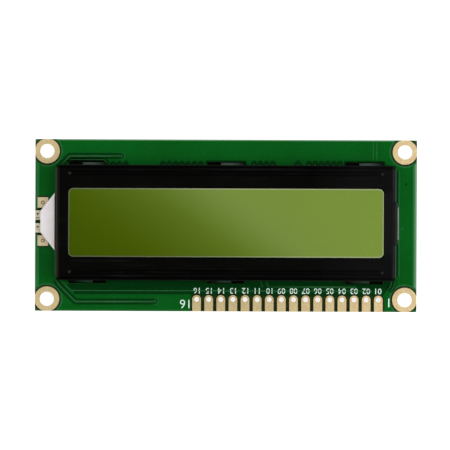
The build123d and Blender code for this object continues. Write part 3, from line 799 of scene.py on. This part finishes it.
for place in spots(*TRACE_VIAS_PX):
    gaps.append(button(place, VIA_GAP_RADIUS, GAP_HEIGHT))
    lines.append(button(place, VIA_HEAD_RADIUS, LINE_HEIGHT))
    # A pale crescent on the right of each via's ring: painted highlight
    rim = (VIA_GAP_RADIUS, VIA_GAP_RADIUS + VIA_RIM_WIDTH, GAP_HEIGHT, -quarter, quarter)
    halos.append(arc_strip(place, *rim, sides=SHORT_ARC_SIDES))
# Dark patches in the bezel's corner notches: painted shade
for side_x in (-1, 1):
    for side_y in (-1, 1):
        y = display_y + side_y * (BEZEL_HALF_Y - NOTCH_SIDE / 2)
        route = [(side_x * (BEZEL_HALF_X - NOTCH_SIDE), y), (side_x * BEZEL_HALF_X, y)]
        gaps.append(band(route, NOTCH_SIDE, GAP_HEIGHT))

for first_px, last_px in SCALLOP_ROWS_PX:
    (start_x, start_y), (end_x, _) = spots((first_px, SCALLOP_Y_PX), (last_px, SCALLOP_Y_PX))
    count = max(1, round((end_x - start_x) / SCALLOP_PITCH))
    step = (end_x - start_x) / count
    row = [(start_x + (i + 0.5) * step, start_y) for i in range(count)]
    gaps += [button(place, SCALLOP_RADIUS, GAP_HEIGHT) for place in row]
    band_y = start_y - SCALLOP_BAND_DROP
    gaps.append(band([(start_x, band_y), (end_x, band_y)], SCALLOP_BAND_WIDTH, GAP_HEIGHT))
    dots = [(x, y - SCALLOP_DOT_DROP) for x, y in row]
    lines += [button(place, SCALLOP_DOT_RADIUS, LINE_HEIGHT) for place in dots]

slot_y = display_y + SLOT_REACH
for slot_x in slots_x:
    low = (slot_x - SLOT_HALF_LENGTH, slot_y - SLOT_HALF_WIDTH)
    high = (slot_x + SLOT_HALF_LENGTH, slot_y + SLOT_HALF_WIDTH)
    gaps += box_frame(low, high, SLOT_FRAME_WIDTH, GAP_HEIGHT)

# A pale line beside the bezel's left and right walls, a painted reflection of the walls in the mask,
# and a dark line between the right wall and its pale line, a painted shadow
for side_x, height, parts in (
    (SIDE_LINE_LEFT_X, LAP_HEIGHT, halos),
    (SIDE_LINE_RIGHT_X, LAP_HEIGHT, halos),
    (SIDE_LINE_RIGHT_X - SIDE_LINE_WIDTH, GAP_HEIGHT, gaps),
):
    route = [(side_x, bezel_low.y + SIDE_LINE_INSET), (side_x, bezel_high.y - SIDE_LINE_INSET)]
    parts.append(band(route, SIDE_LINE_WIDTH, height))

land_lap = LAND_RADIUS + LAND_LAP_WIDTH
laps = land_rings(LAND_RADIUS, land_lap, LAP_HEIGHT)
laps += pad_surrounds(LAP_HEIGHT)
halos += land_rings(land_lap, land_lap + HALO_WIDTH, GAP_HEIGHT)
square_side = square_high.x - square_low.x
for low_y in (square_low.y, square_high.y - square_side):
    for edge_y in (low_y - LAP_WIDTH / 2, low_y + square_side + LAP_WIDTH / 2):
        laps.append(band([(square_low.x, edge_y), (square_high.x, edge_y)], LAP_WIDTH, LAP_HEIGHT))
lamp_middle = (lamp_pads_low.y + lamp_pads_high.y) / 2
for edge_y in (lamp_pads_low.y - LAP_WIDTH / 2, lamp_middle, lamp_pads_high.y + LAP_WIDTH / 2):
    route = [(lamp_pads_low.x + EDGE_MARGIN, edge_y), (lamp_pads_high.x, edge_y)]
    laps.append(band(route, 2 * LAP_WIDTH if edge_y == lamp_middle else LAP_WIDTH, LAP_HEIGHT))

# A dark line across the upper lamp pad
laps.append(band(spots(*LAMP_PAD_DARK_LINE_PX), DARK_LINE_WIDTH, LAP_HEIGHT, lamp_pads_high.z))

# Dark plugs in the lamp pads' holes stand in for the shade inside them: painted shade
lamp_hole_shade_plugs = [
    button((LAMP_HOLE_X, y), LAMP_HOLE_SHADE_RADIUS, LAP_HEIGHT, board_back + board_thickness / 2)
    for y in LAMP_HOLES_Y
]
add_piece("lamp_hole_shade_plugs", lamp_hole_shade_plugs, lap_mask)
add_piece("front_mask_gaps", gaps, gap_mask)
add_piece("front_mask_lines", lines, line_mask, True)
add_piece("front_mask_laps", laps, lap_mask)
add_piece("front_mask_halos", halos, halo_mask)


# Front: printed pin numbers

PIN_NUMBER_Y = -13.68 * MM
PIN_NUMBER_HEIGHT = 1.2 * MM
END_NUMBER_HEIGHT = 1.8 * MM
PIN_NUMBER_WEIGHT = 0.006
END_NUMBER_WEIGHT = -0.008
LETTER_EXTRUDE = 0.01
LETTER_STEPS = 3
LETTER_WELD = 1e-5
FIRST_NUMBER_PX = (388.8, 302.9)
LAST_NUMBER_PX = (184.7, 304.0)


def number(text, center, height, weight):
    """A number as a thin closed plate of ink: the letters' outlines, scaled to the given height,
    turned upside down about their middle and laid on the board."""
    curve = bpy.data.curves.new("number", "FONT")
    curve.body = text
    curve.extrude = LETTER_EXTRUDE
    curve.offset = weight
    curve.resolution_u = LETTER_STEPS
    letters = bpy.data.objects.new("number", curve)
    mesh = bpy.data.meshes.new_from_object(letters)
    welded = bmesh.new()
    welded.from_mesh(mesh)
    bmesh.ops.remove_doubles(welded, verts=welded.verts, dist=LETTER_WELD)
    welded.to_mesh(mesh)
    welded.free()
    points = np.empty(len(mesh.vertices) * 3)
    mesh.vertices.foreach_get("co", points)
    points = points.reshape(-1, 3)
    faces = [list(face.vertices) for face in mesh.polygons]
    bpy.data.objects.remove(letters)
    bpy.data.curves.remove(curve)
    bpy.data.meshes.remove(mesh)
    low, high = points.min(0), points.max(0)
    flat = (points[:, :2] - (low[:2] + high[:2]) / 2) * height / (high[1] - low[1])
    placed = np.empty_like(points)
    placed[:, :2] = center - flat
    placed[:, 2] = board_face + np.where(points[:, 2] > 0, INK_HEIGHT, -SINK)
    return placed, faces


numbers = [
    number(f"{pin + 1:02d}", (x, PIN_NUMBER_Y), PIN_NUMBER_HEIGHT, PIN_NUMBER_WEIGHT)
    for pin, x in enumerate(pin_places)
]
for text, place in zip(("1", str(PIN_COUNT)), spots(FIRST_NUMBER_PX, LAST_NUMBER_PX)):
    numbers.append(number(text, place, END_NUMBER_HEIGHT, END_NUMBER_WEIGHT))
add_piece("pin_numbers", numbers, ink)


# Rear: traces, vias and printed outlines round the sealed chips

REAR = (board_back, -1)
# A rear via's radius and height, the face it stands on, and the corners of its outline
REAR_VIA = (0.32 * MM, 1.3 * LINE_HEIGHT, *REAR, 14)
# Each fan's first and last angle in degrees, its count of traces, and the place and the half length
# of the row of vias that it runs to
FANS = ((50, 130, 13, 10.4 * MM, 8.4 * MM), (-55, -125, 11, -9.4 * MM, 6.6 * MM))
FAN_ROOT = 0.3 * MM
FAN_RAY = 1.1 * MM
FAN_WIDTH = 0.22 * MM
BUS_COUNT = 9
BUS_PITCH = 0.75 * MM
BUS_WIDTH = 0.25 * MM
BUS_OVERLAP = 0.2 * MM
TAIL_LIFTS = (0.7 * MM, 1.15 * MM, 1.6 * MM)
TAIL_OVERLAP = 0.1 * MM
TAIL_SLANT = 0.8 * MM
TAIL_WIDTH = 0.3 * MM
RING_GAP = 0.5 * MM
RING_WIDTH = 0.25 * MM
OUTLINE_WIDTH = 0.18 * MM
CHIP_LENGTH = 1.25 * MM
CHIP_MARGIN = 0.25 * MM
RESISTOR_COUNT = 6
CAPACITOR_COUNT = 2


def seal_circle(low, high):
    """The middle and the radius of a round seal."""
    return np.array([(low.x + high.x) / 2, (low.y + high.y) / 2]), (high.x - low.x) / 2


def fan(center, radius, first_angle, last_angle, count, row_y, row_half):
    """Traces that leave a seal like rays, evenly over an angle, then run to a row of vias evenly
    spaced along a line."""
    turns = np.radians(np.linspace(first_angle, last_angle, count))
    ends_x = center[0] + np.linspace(1, -1, count) * row_half * np.sign(last_angle - first_angle)
    parts = []
    for turn, end_x in zip(turns, ends_x):
        ray = np.array([math.cos(turn), math.sin(turn)])
        inner = center + ray * (radius - FAN_ROOT)
        outer = center + ray * (radius + FAN_RAY)
        end = (end_x, row_y)
        parts.append(trace([inner, outer, end], FAN_WIDTH, *REAR))
        parts.append(button(end, *REAR_VIA))
    return parts


def chip_outlines(low, high, count):
    """A printed frame round each chip of an evenly spaced row."""
    pitch = (high.x - low.x - CHIP_LENGTH) / (count - 1)
    frames = []
    for i in range(count):
        left = low.x + i * pitch
        corner = (left - CHIP_MARGIN, low.y - CHIP_MARGIN)
        opposite = (left + CHIP_LENGTH + CHIP_MARGIN, high.y + CHIP_MARGIN)
        frames += box_frame(corner, opposite, OUTLINE_WIDTH, INK_HEIGHT, *REAR)
    return frames


seals = [seal_circle(controller_low, controller_high), seal_circle(driver_low, driver_high)]
rear_lines = []
rear_ink = []
for middle, radius in seals:
    for row in FANS:
        rear_lines += fan(middle, radius, *row)
    # The printed ring is two halves that meet end to end
    inner = radius + RING_GAP
    for start in (0, math.pi):
        half = (inner, inner + RING_WIDTH, INK_HEIGHT, start, start + math.pi)
        rear_ink.append(arc_strip(middle, *half, *REAR))

(left_middle, left_radius), (right_middle, right_radius) = seals
bus_middle = (left_middle[1] + right_middle[1]) / 2
for i in range(BUS_COUNT):
    y = bus_middle + (i - BUS_COUNT // 2) * BUS_PITCH
    left_x = left_middle[0] + math.sqrt(left_radius ** 2 - (y - left_middle[1]) ** 2)
    right_x = right_middle[0] - math.sqrt(right_radius ** 2 - (y - right_middle[1]) ** 2)
    route = [(left_x - BUS_OVERLAP, y), (right_x + BUS_OVERLAP, y)]
    rear_lines.append(trace(route, BUS_WIDTH, *REAR))

for i, x in enumerate(pin_places):
    start_y = PIN_ROW_Y + PIN_PAD_HALF - TAIL_OVERLAP
    bend_y = start_y + TAIL_LIFTS[i % len(TAIL_LIFTS)]
    end = (x + TAIL_SLANT, bend_y + TAIL_SLANT)
    rear_lines.append(trace([(x, start_y), (x, bend_y), end], TAIL_WIDTH, *REAR))
    rear_lines.append(button(end, *REAR_VIA))

rear_ink += chip_outlines(resistors_low, resistors_high, RESISTOR_COUNT)
rear_ink += chip_outlines(capacitors_low, capacitors_high, CAPACITOR_COUNT)

rear_laps = land_rings(LAND_RADIUS, LAND_RADIUS + LAP_WIDTH, LAP_HEIGHT, *REAR)
rear_laps += pad_surrounds(LAP_HEIGHT, *REAR)

add_piece("rear_mask_lines", rear_lines, line_mask, True)
add_piece("rear_ink_outlines", rear_ink, ink)
add_piece("rear_mask_laps", rear_laps, lap_mask)


# Floor, light and camera

CAMERA_HEIGHT = 3.0
SENSOR = 36.0
TABLE_HALF = 4.0
SHADE_HALF_X = 34.2 * MM
SHADE_HALF_Y = 12.9 * MM
SHADE_SOFT = 2.0 * MM
CANOPY_HEIGHT = 1.5
CANOPY_HALF = 2.4
CARD_HALF_X = 0.24
CARD_HALF_Y = 0.16
CARD_LEVEL = 1.77
CARD_SLANT = 1.38
CARD_SOFT = 0.01
CANOPY_LEVEL = 0.004
TABLE_SEEN = 0.76
TABLE_LIGHT = 0.3
TABLE_LIGHT_UNDER = 1.0
WORLD_LIGHT = 0.4
SKIRT_RADIUS = 2.4
SKIRT_LEVEL = 0.02
SKIRT_SIDES = 72
CLIP_END = 10.0
# Places along the slant of the card's light, in millimetres on the display, and its level there
CARD_LIGHT = (
    (-39, 0.0), (-23, 0.01), (-14.3, 0.11), (-5.9, 0.23), (2.0, 0.66), (6.0, 0.945), (9.0, 1.0),
    (18.0, 0.935), (42.0, 0.8),
)


def stage_sheet(name, points, faces, material):
    """A sheet of the studio, which is no part of the module."""
    mesh = bpy.data.meshes.new(name)
    mesh.from_pydata(points, [], faces)
    mesh.materials.append(material)
    sheet = bpy.data.objects.new(name, mesh)
    bpy.context.scene.collection.objects.link(sheet)
    return sheet


def level_sheet(name, half, z, material):
    """A square sheet that lies level."""
    corners = [(-half, -half, z), (half, -half, z), (half, half, z), (-half, half, z)]
    return stage_sheet(name, corners, [(0, 1, 2, 3)], material)


def only_in_gloss(sheet):
    """Lets a sheet show in reflections and nowhere else."""
    sheet.visible_camera = False
    sheet.visible_diffuse = False
    sheet.visible_transmission = False
    sheet.visible_shadow = False


def seen_plain(tree):
    """One for rays of the camera, of gloss and of clear glass, nothing for the others."""
    paths = {path.name: path for path in add(tree, "LightPath", out=None)}
    seen = add(
        tree, "Math", {0: paths["Is Camera Ray"], 1: paths["Is Glossy Ray"]}, operation="MAXIMUM",
    )
    return add(tree, "Math", {0: seen, 1: paths["Is Transmission Ray"]}, operation="MAXIMUM")


def white_table():
    """A white table that shows white to the camera and takes the module's shadow. It looks dark right
    under the bezel, where no light comes, so the slots look dark. It is clear from below, and its
    middle lights the module's rear."""
    material, tree, where = new_material("white_table")
    x, y, _ = add(tree, "SeparateXYZ", {0: where}, out=None)
    under = inside(tree, x, -SHADE_HALF_X, SHADE_HALF_X, SHADE_SOFT)
    shade_low, shade_high = display_y - SHADE_HALF_Y, display_y + SHADE_HALF_Y
    under = inside(tree, y, shade_low, shade_high, SHADE_SOFT, under)
    shown_level = add(tree, "MapRange", {"Value": under, "To Min": TABLE_SEEN, "To Max": 0.0})
    light_level = add(
        tree, "MapRange", {"Value": under, "To Min": TABLE_LIGHT, "To Max": TABLE_LIGHT_UNDER},
    )
    level = add(tree, "MapRange", {
        "Value": seen_plain(tree), "To Min": light_level, "To Max": shown_level,
    })
    glow = add(tree, "Emission", {"Strength": level})
    shade = layered(tree, linear("#bcbcbc"), (under, linear("#191919")))
    matte = add(tree, "BsdfDiffuse", {"Color": shade})
    lit = add(tree, "AddShader", {0: glow, 1: matte})
    clear = add(tree, "BsdfTransparent")
    below = add(tree, "NewGeometry", out="Backfacing")
    shown = add(tree, "MixShader", {0: below, 1: lit, 2: clear})
    add(tree, "OutputMaterial", {"Surface": shown})
    level_sheet("white_table", TABLE_HALF, floor_z, material)


def dark_canopy():
    """A dark sheet overhead with a pale card in its middle. The display mirrors the card, whose light
    falls off along a slant. A point of the display is mirrored at its own place times one plus the
    canopy's height over the camera's, both taken from the display."""
    material, tree, where = new_material("dark_canopy")
    x, y, _ = add(tree, "SeparateXYZ", {0: where}, out=None)
    top = display_high.z
    spread = 1 + (CANOPY_HEIGHT - top) / (CAMERA_HEIGHT - top)
    first, last = CARD_LIGHT[0][0], CARD_LIGHT[-1][0]
    slant = add(tree, "Math", {0: y, 1: CARD_SLANT, 2: x}, operation="MULTIPLY_ADD")
    share = add(tree, "MapRange", {
        "Value": slant, "From Min": first * MM * spread, "From Max": last * MM * spread,
    })
    ramp = add(tree, "ValToRGB", {0: share}, out="Color").node
    stops = ramp.color_ramp.elements
    while len(stops) < len(CARD_LIGHT):
        stops.new(0.5)
    for stop, (place, level) in zip(stops, CARD_LIGHT):
        stop.position = (place - first) / (last - first)
        stop.color = (level, level, level, 1.0)
    card = inside(tree, x, -CARD_HALF_X, CARD_HALF_X, CARD_SOFT)
    card = inside(tree, y, -CARD_HALF_Y, CARD_HALF_Y, CARD_SOFT, card)
    level = add(tree, "Math", {0: card, 1: ramp.outputs[0]}, operation="MULTIPLY")
    level = add(tree, "Math", {0: level, 1: CARD_LEVEL, 2: CANOPY_LEVEL}, operation="MULTIPLY_ADD")
    glow = add(tree, "Emission", {"Color": linear("#fffde6"), "Strength": level})
    add(tree, "OutputMaterial", {"Surface": glow})
    only_in_gloss(level_sheet("dark_canopy", CANOPY_HALF, CANOPY_HEIGHT, material))


def dark_skirt():
    """A dim wall round the set, up to the canopy, so that gloss on the bezel's folds stays dark."""
    material, tree, _ = new_material("dark_skirt")
    glow = add(tree, "Emission", {"Strength": SKIRT_LEVEL})
    add(tree, "OutputMaterial", {"Surface": glow})
    turns = np.arange(SKIRT_SIDES) * math.tau / SKIRT_SIDES
    points = np.empty((2, SKIRT_SIDES, 3))
    points[..., 0] = SKIRT_RADIUS * np.cos(turns)
    points[..., 1] = SKIRT_RADIUS * np.sin(turns)
    points[0, :, 2] = floor_z
    points[1, :, 2] = CANOPY_HEIGHT
    here = np.arange(SKIRT_SIDES)
    beside = (here + 1) % SKIRT_SIDES
    faces = np.stack([here, beside, beside + SKIRT_SIDES, here + SKIRT_SIDES], 1)
    sheet = stage_sheet("dark_skirt", points.reshape(-1, 3).tolist(), faces.tolist(), material)
    only_in_gloss(sheet)


def studio_world():
    """A plain white surround: white behind the module and in its gloss, softer as light."""
    world = bpy.data.worlds.new("studio")
    world.use_nodes = True
    tree = world.node_tree
    tree.nodes.clear()
    level = add(
        tree, "Math", {0: seen_plain(tree), 1: 1 - WORLD_LIGHT, 2: WORLD_LIGHT},
        operation="MULTIPLY_ADD",
    )
    surround = add(tree, "Background", {"Color": linear("#ffffff"), "Strength": level})
    add(tree, "OutputWorld", {"Surface": surround})
    bpy.context.scene.world = world


def softbox(name, place, power, size, in_gloss=False):
    """A square soft light turned to the module, which may show in its gloss."""
    light = bpy.data.lights.new(name, "AREA")
    light.shape = "SQUARE"
    light.size = size
    light.energy = power
    lamp = bpy.data.objects.new(name, light)
    x, y, z = place
    lamp.location = place
    lamp.rotation_euler = (math.atan2(math.hypot(x, y), z), 0, math.atan2(y, x) + math.pi / 2)
    lamp.visible_camera = False
    lamp.visible_glossy = in_gloss
    bpy.context.scene.collection.objects.link(lamp)


def studio_camera():
    """A long lens straight above the module, turned a quarter of a degree, as in the photograph."""
    lens = bpy.data.cameras.new("camera")
    lens.sensor_width = SENSOR
    lens.lens = SENSOR * (CAMERA_HEIGHT - board_face) / FIELD_WIDTH
    lens.clip_end = CLIP_END
    camera = bpy.data.objects.new("camera", lens)
    camera.location = (CAMERA_X, CAMERA_Y, CAMERA_HEIGHT)
    camera.rotation_euler = (0, 0, ROLL)
    bpy.context.scene.collection.objects.link(camera)
    bpy.context.scene.camera = camera


white_table()
dark_canopy()
dark_skirt()
studio_world()
studio_camera()
softbox("top_softbox", (0.1, 0.0, 1.3), power=9.0, size=0.9)
softbox("right_softbox", (1.1, 0.25, 1.0), power=6.0, size=0.8, in_gloss=True)
softbox("left_softbox", (-1.0, 0.5, 1.1), power=3.0, size=0.8, in_gloss=True)
softbox("near_softbox", (0.3, -0.08, 0.3), power=0.5, size=0.15)
bpy.context.scene.view_settings.view_transform = "Standard"
